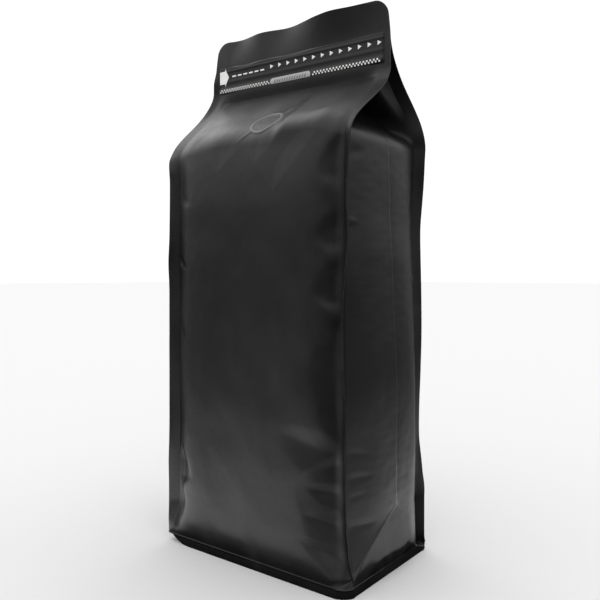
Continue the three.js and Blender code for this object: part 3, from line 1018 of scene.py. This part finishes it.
def addVector(tree, operation, first, second=(0, 0, 0)):
    step = tree.nodes.new("ShaderNodeVectorMath")
    step.operation = operation
    feed(tree, step.inputs[0], first)
    feed(tree, step.inputs[1], second)
    return step.outputs["Value" if operation in ("LENGTH", "DISTANCE", "DOT_PRODUCT") else "Vector"]


def addNoise(tree, place, scale, detail, roughness, stretch=None):
    noise = tree.nodes.new("ShaderNodeTexNoise")
    if stretch:
        place = addVector(tree, "MULTIPLY", place, stretch)
    feed(tree, noise.inputs["Vector"], place)
    feed(tree, noise.inputs["Scale"], scale)
    feed(tree, noise.inputs["Detail"], detail)
    feed(tree, noise.inputs["Roughness"], roughness)
    return noise.outputs["Fac"]


def addRange(tree, value, low, high, toLow=0.0, toHigh=1.0, smooth=True):
    span = tree.nodes.new("ShaderNodeMapRange")
    span.interpolation_type = "SMOOTHSTEP" if smooth else "LINEAR"
    for label, number in (("From Min", low), ("From Max", high), ("To Min", toLow), ("To Max", toHigh)):
        span.inputs[label].default_value = number
    tree.links.new(value, span.inputs["Value"])
    return span.outputs[0]


def objectPlace(tree):
    return tree.nodes.new("ShaderNodeTexCoord").outputs["Object"]


def makeFineGrain():  # the matt film's grain: a fine one, with slightly coarser flecks in it
    group, given, wanted = newGroup("fineGrain", [("Scale", 2400.0), ("Fleck Share", 0.35)],
                                    ["Height", "Flecks"])
    place = objectPlace(group)
    fine = addNoise(group, place, given["Scale"], detail=3, roughness=0.6)
    coarseScale = addMath(group, "MULTIPLY", given["Scale"], 0.27)
    coarse = addNoise(group, place, coarseScale, detail=2, roughness=0.5)
    flecks = addRange(group, coarse, low=0.52, high=0.72)
    group.links.new(addMath(group, "ADD", fine, addMath(group, "MULTIPLY", flecks, given["Fleck Share"])),
                    wanted["Height"])
    group.links.new(flecks, wanted["Flecks"])
    return group


def makeSoftSmudges():  # where it was handled: broad soft patches, and streaks that run down it
    group, given, wanted = newGroup("softSmudges", [("Scale", 26.0), ("Streaks", 0.5)], ["Mask"])
    place = objectPlace(group)
    patches = addNoise(group, place, given["Scale"], detail=4, roughness=0.55)
    patches = addRange(group, patches, low=0.38, high=0.68)
    streaks = addNoise(group, place, given["Scale"], detail=3, roughness=0.5, stretch=(3.2, 3.2, 0.5))
    streaks = addRange(group, streaks, low=0.45, high=0.75)
    both = addMath(group, "ADD", patches, addMath(group, "MULTIPLY", streaks, given["Streaks"]))
    group.links.new(addMath(group, "MINIMUM", both, 1.0), wanted["Mask"])
    return group


def makeEdgeRub():  # light rubbing along creases and edges, broken up by noise
    group, given, wanted = newGroup("edgeRub", [("Breakup Scale", 420.0), ("Amount", 1.0)], ["Mask"])
    edge = group.nodes.new("ShaderNodeNewGeometry").outputs["Pointiness"]
    sharp = addRange(group, edge, low=0.535, high=0.62)
    broken = addNoise(group, objectPlace(group), given["Breakup Scale"], detail=4, roughness=0.65)
    broken = addRange(group, broken, low=0.35, high=0.65)
    rubbed = addMath(group, "MULTIPLY", addMath(group, "MULTIPLY", sharp, broken), given["Amount"])
    group.links.new(rubbed, wanted["Mask"])
    return group


def makeSlackFilm():  # the film is never quite flat: shallow swells with finer ones on them
    group, given, wanted = newGroup("slackFilm", [("Scale", 70.0), ("Fine Share", 0.3)], ["Height"])
    place = objectPlace(group)
    broad = addNoise(group, place, given["Scale"], detail=2, roughness=0.4, stretch=(1.0, 1.0, 0.7))
    fineScale = addMath(group, "MULTIPLY", given["Scale"], 3.1)
    fine = addNoise(group, place, fineScale, detail=2, roughness=0.5)
    group.links.new(addMath(group, "ADD", broad, addMath(group, "MULTIPLY", fine, given["Fine Share"])),
                    wanted["Height"])
    return group


fineGrain = makeFineGrain()
softSmudges = makeSoftSmudges()
edgeRub = makeEdgeRub()
slackFilm = makeSlackFilm()


def placeGroup(tree, group, values):
    node = tree.nodes.new("ShaderNodeGroup")
    node.node_tree = group
    for label, value in values.items():
        node.inputs[label].default_value = value
    return node.outputs


def addBump(tree, height, distance, before=None):
    bump = tree.nodes.new("ShaderNodeBump")
    bump.inputs["Distance"].default_value = distance
    bump.inputs["Strength"].default_value = 1.0
    tree.links.new(height, bump.inputs["Height"])
    if before:
        tree.links.new(before, bump.inputs["Normal"])
    return bump.outputs["Normal"]


def addMix(tree, share, first, second, blend="MIX"):
    mixer = tree.nodes.new("ShaderNodeMixRGB")
    mixer.blend_type = blend
    feed(tree, mixer.inputs["Fac"], share)
    feed(tree, mixer.inputs["Color1"], first)
    feed(tree, mixer.inputs["Color2"], second)
    return mixer.outputs["Color"]


def addPaintedRingHighlight(tree):  # a painted highlight: the film is pale where it lies over the valve's edge
    away = addVector(tree, "DISTANCE", objectPlace(tree), valveRing["centre"])
    beside = addMath(tree, "ABSOLUTE", addMath(tree, "SUBTRACT", away, valveRing["radius"] * mm))
    return addRange(tree, beside, 0.0, valveRing["ringHighlightWidth"] * mm, 1.0, 0.0)


def mattFilm(name, own):  # own is what differs between the bag and the strip
    material, nodes, links = newMaterial(name)
    tree, shader = material.node_tree, nodes["Principled BSDF"]
    grain = placeGroup(tree, fineGrain, finish["grain"])
    smudges = {"Scale": own["smudgeScale"], "Streaks": finish["streaks"]}
    smudge = placeGroup(tree, softSmudges, smudges)["Mask"]
    rub = placeGroup(tree, edgeRub, finish["rub"])["Mask"]
    slack = placeGroup(tree, slackFilm, finish["slack"])
    dulled = addMix(tree, smudge, finish["filmBlack"], finish["filmDusty"])
    colour = addMix(tree, rub, dulled, finish["filmRubbed"])
    # the valve's ring gets a pale painted highlight line, not wear
    if own["paintedRingHighlight"]:
        colour = addMix(tree, addPaintedRingHighlight(tree), colour, finish["filmRingHighlight"])
    links.new(colour, shader.inputs["Base Color"])
    flecked = addMath(tree, "MULTIPLY", grain["Flecks"], finish["flecks"])
    smooth = addRange(tree, smudge, 0.0, 1.0, *own["roughness"], smooth=False)
    links.new(addMath(tree, "ADD", smooth, flecked), shader.inputs["Roughness"])
    uneven = addBump(tree, slack["Height"], own["slackDepth"])
    links.new(addBump(tree, grain["Height"], finish["grainDepth"], uneven), shader.inputs["Normal"])
    return material


film.data.materials.append(mattFilm("mattBlackFilm", finish["bag"]))
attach(film, "root")
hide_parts("bag_film")

band.data.materials.append(mattFilm("tearStripFilm", finish["strip"]))
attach(band, "root")
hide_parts("zip_strip")

inkFinish = {
    "white": {"full": (0.78, 0.78, 0.77, 1), "thin": (0.6, 0.6, 0.6, 1)},
    "grey": {"full": (0.4, 0.4, 0.4, 1), "thin": (0.28, 0.28, 0.28, 1)},
    "dark": {"full": (0.03, 0.03, 0.03, 1), "thin": (0.09, 0.09, 0.09, 1)},
    "roughness": (0.42, 0.58),
    "unevenness": {"Scale": 300, "Streaks": 0.2},
    "grain": {"Scale": 5200, "Fleck Share": 0.6},
    "grainDepth": 0.000008,
}


def printInk(name, tone):
    material, nodes, links = newMaterial(name)
    tree, shader = material.node_tree, nodes["Principled BSDF"]
    uneven = placeGroup(tree, softSmudges, inkFinish["unevenness"])["Mask"]
    grain = placeGroup(tree, fineGrain, inkFinish["grain"])
    thin = addMath(tree, "MULTIPLY", grain["Flecks"], uneven)
    links.new(addMix(tree, thin, tone["full"], tone["thin"]), shader.inputs["Base Color"])
    smooth = addRange(tree, uneven, 0.0, 1.0, *inkFinish["roughness"], smooth=False)
    links.new(smooth, shader.inputs["Roughness"])
    links.new(addBump(tree, grain["Height"], inkFinish["grainDepth"]), shader.inputs["Normal"])
    return material


for tone, pieces in printPieces.items():
    ink = printInk(tone + "Ink", inkFinish[tone])
    for piece in pieces:
        piece.data.materials.append(ink)
        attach(piece, "root")
print("finishes on")

studio = {
    "floorRadius": 6.0,
    "floorSides": 96,
    "floorColour": (0.88, 0.88, 0.88, 1),
    "floorRoughness": 0.8,
    "surround": 1.08,            # even white light all round
    "footprint": (0.068, 0.044),  # half sizes of the base, round which the floor's glow has a painted shadow
    # the painted glow that the film mirrors in the floor, with a painted shadow next to the base, by the
    # distance from the base in metres
    "floorGlow": [(0.0, 0.0), (0.014, 0.01), (0.028, 1.45), (0.055, 1.85), (0.09, 1.55), (0.15, 1.0),
                  (0.25, 0.5), (0.45, 0.23), (1.0, 0.16)],
    "dimDirection": (0.98, -0.2, 0.0),   # that glow is weaker this way
    "dimRange": (-0.2, 0.25),            # over this distance, in metres
    "dimShares": (1.15, 0.76),
    "sectorDirection": (0.62, -0.78, 0.0),
    "sectorCosines": (0.87, 0.99),       # and weakest within a narrow sector, a painted shade
    "sectorShare": 0.4,
    # what it mirrors of the room, by height: -1 is straight down and 1 straight up
    "roomGlow": [(-1.0, 0.2), (-0.08, 0.2), (0.03, 0.28), (0.2, 0.6), (0.4, 0.9), (0.6, 1.05), (1.0, 1.0)],
    "topLight": (-0.64, 0.3, 0.707),
    "topCosines": (0.72, 1.0),
    "topGlow": 1.1,
    "darkSide": (0.61, -0.79, 0.0),   # the side where the viewer stands gives less light
    "darkCosines": (0.55, 1.0),
    "darkShare": 0.5,
    "rampTop": 2.0,                   # the glows are wired as shares of this
}


def addRamp(tree, value, points, low, high):  # a smooth curve of glow through its points
    ramp = tree.nodes.new("ShaderNodeValToRGB")
    ramp.color_ramp.interpolation = "EASE"
    while len(ramp.color_ramp.elements) < len(points):
        ramp.color_ramp.elements.new(0.5)
    for element, (place, glow) in zip(ramp.color_ramp.elements, points):
        element.position = (place - low) / (high - low)
        element.color = (*[glow / studio["rampTop"]] * 3, 1)
    tree.links.new(addRange(tree, value, low, high, smooth=False), ramp.inputs["Fac"])
    return ramp.outputs["Color"]


def mirrorOther(tree, seen, mirrored, out):  # gloss mirrors something else than the camera sees
    ray = tree.nodes.new("ShaderNodeLightPath")
    pick = tree.nodes.new("ShaderNodeMixShader")
    tree.links.new(ray.outputs["Is Glossy Ray"], pick.inputs["Fac"])
    tree.links.new(seen.outputs[0], pick.inputs[1])
    tree.links.new(mirrored.outputs[0], pick.inputs[2])
    tree.links.new(pick.outputs[0], out.inputs["Surface"])


def makeFloor():
    mesh = bpy.data.meshes.new("floor")
    work = bmesh.new()
    bmesh.ops.create_circle(work, cap_ends=True, segments=studio["floorSides"],
                            radius=studio["floorRadius"])
    work.to_mesh(mesh)
    work.free()
    floor = bpy.data.objects.new("floor", mesh)
    bpy.context.scene.collection.objects.link(floor)
    material, nodes, links = newMaterial("paleFloor")
    tree, shader = material.node_tree, nodes["Principled BSDF"]
    shader.inputs["Base Color"].default_value = studio["floorColour"]
    shader.inputs["Roughness"].default_value = studio["floorRoughness"]
    shader.inputs["Specular IOR Level"].default_value = 0.0
    place = objectPlace(tree)
    beyond = addVector(tree, "SUBTRACT", addVector(tree, "ABSOLUTE", place), (*studio["footprint"], 0))
    distance = addVector(tree, "LENGTH", addVector(tree, "MAXIMUM", beyond))
    aside = addVector(tree, "DOT_PRODUCT", place, studio["dimDirection"])
    dim = addRange(tree, aside, *studio["dimRange"], *(studio["rampTop"] * s for s in studio["dimShares"]))
    straight = addVector(tree, "DOT_PRODUCT", addVector(tree, "NORMALIZE", place), studio["sectorDirection"])
    sector = addRange(tree, straight, *studio["sectorCosines"], 1.0, studio["sectorShare"])
    # reflections see this painted glow, with its painted shadow round the base, instead of the plain floor
    glow = nodes.new("ShaderNodeEmission")
    links.new(addRamp(tree, distance, studio["floorGlow"], 0, 1), glow.inputs["Color"])
    links.new(addMath(tree, "MULTIPLY", dim, sector), glow.inputs["Strength"])
    mirrorOther(tree, shader, glow, nodes["Material Output"])
    mesh.materials.append(material)


def makeRoom():
    world = bpy.data.worlds.new("studio")
    bpy.context.scene.world = world
    world.use_nodes = True
    tree, nodes = world.node_tree, world.node_tree.nodes
    nodes.clear()
    even = nodes.new("ShaderNodeBackground")
    even.inputs["Strength"].default_value = studio["surround"]
    even.inputs["Color"].default_value = (1, 1, 1, 1)
    room = nodes.new("ShaderNodeBackground")
    room.inputs["Strength"].default_value = studio["rampTop"]
    heading = nodes.new("ShaderNodeTexCoord").outputs["Generated"]
    parts = nodes.new("ShaderNodeSeparateXYZ")
    tree.links.new(heading, parts.inputs[0])
    glow = addRamp(tree, parts.outputs["Z"], studio["roomGlow"], -1, 1)
    toDark = addVector(tree, "DOT_PRODUCT", heading, studio["darkSide"])
    shade = addRange(tree, toDark, *studio["darkCosines"], 1.0, 1 - studio["darkShare"])
    toTop = addVector(tree, "DOT_PRODUCT", heading, studio["topLight"])
    lamp = addRange(tree, toTop, *studio["topCosines"], 0.0, studio["topGlow"] / studio["rampTop"])
    lit = addMix(tree, 1.0, addMix(tree, 1.0, glow, shade, "MULTIPLY"), lamp, "ADD")
    tree.links.new(lit, room.inputs["Color"])
    mirrorOther(tree, even, room, nodes.new("ShaderNodeOutputWorld"))


makeFloor()
makeRoom()
bpy.context.scene.view_settings.view_transform = "Standard"
print("studio set up")

cameraSetup = {
    "place": (0.2668, -0.3427, 0.1748),
    "turn": math.radians(37.53),
    "sensor": 36,
    "lens": 41.87,
    "shiftY": -0.0623,
    "nearest": 0.01,
}

camera = bpy.data.objects.new("camera", bpy.data.cameras.new("camera"))
camera.location = cameraSetup["place"]
camera.rotation_euler = (math.pi / 2, 0, cameraSetup["turn"])
camera.data.sensor_width = cameraSetup["sensor"]
camera.data.lens = cameraSetup["lens"]
camera.data.shift_y = cameraSetup["shiftY"]
camera.data.clip_start = cameraSetup["nearest"]
bpy.context.scene.collection.objects.link(camera)
bpy.context.scene.camera = camera
